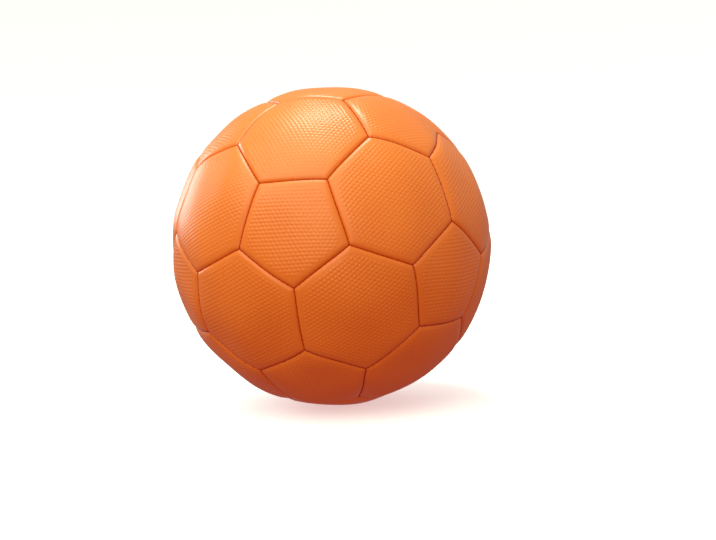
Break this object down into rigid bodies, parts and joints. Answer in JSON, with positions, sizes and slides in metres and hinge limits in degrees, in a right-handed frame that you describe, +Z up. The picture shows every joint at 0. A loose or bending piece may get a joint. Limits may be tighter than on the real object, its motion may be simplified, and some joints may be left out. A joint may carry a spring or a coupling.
{
  "type": "handball",
  "caption": "Round handball with a cover of stitched pentagon and hexagon panels over foam and lining, an air bladder inside and a rubber valve for an inflating needle.",
  "frame": {"origin": "the centre of the ball", "axes": "+Z up through the middle of the top hexagon, -Y towards the front pentagon's meridian, +X to the right of the picture"},
  "size_m": [0.1876, 0.1878, 0.1878],
  "materials": {
    "cover": "embossed satin synthetic leather, orange",
    "thread": "waxed twisted polyester thread, dark orange",
    "foam": "soft closed-cell foam, off-white",
    "lining": "woven polyester-cotton, unbleached",
    "bladder": "butyl rubber, matt black",
    "valve_housing": "moulded butyl rubber, satin black",
    "valve_plug": "soft moulded rubber, dark orange"
  },
  "bodies": {
    "root": {"pentagon_panel_01": "cover", "pentagon_panel_02": "cover", "pentagon_panel_03": "cover", "pentagon_panel_04": "cover", "pentagon_panel_05": "cover", "pentagon_panel_06": "cover", "pentagon_panel_07": "cover", "pentagon_panel_08": "cover", "pentagon_panel_09": "cover", "pentagon_panel_10": "cover", "pentagon_panel_11": "cover", "pentagon_panel_12": "cover", "hexagon_panel_01": "cover", "hexagon_panel_02": "cover", "hexagon_panel_03": "cover", "hexagon_panel_04": "cover", "hexagon_panel_05": "cover", "hexagon_panel_06": "cover", "hexagon_panel_07": "cover", "hexagon_panel_08": "cover", "hexagon_panel_09": "cover", "hexagon_panel_10": "cover", "hexagon_panel_11": "cover", "hexagon_panel_12": "cover", "hexagon_panel_13": "cover", "hexagon_panel_14": "cover", "hexagon_panel_15": "cover", "hexagon_panel_16": "cover", "hexagon_panel_17": "cover", "hexagon_panel_18": "cover", "hexagon_panel_19": "cover", "hexagon_panel_20": "cover", "pentagon_foam_pads": "foam", "hexagon_foam_pads": "foam", "pentagon_linings": "lining", "hexagon_linings": "lining", "pentagon_seam_threads": "thread", "hexagon_seam_threads": "thread", "bladder": "bladder", "valve_housing": "valve_housing", "valve_plug": "valve_plug"}
  },
  "joints": []
}
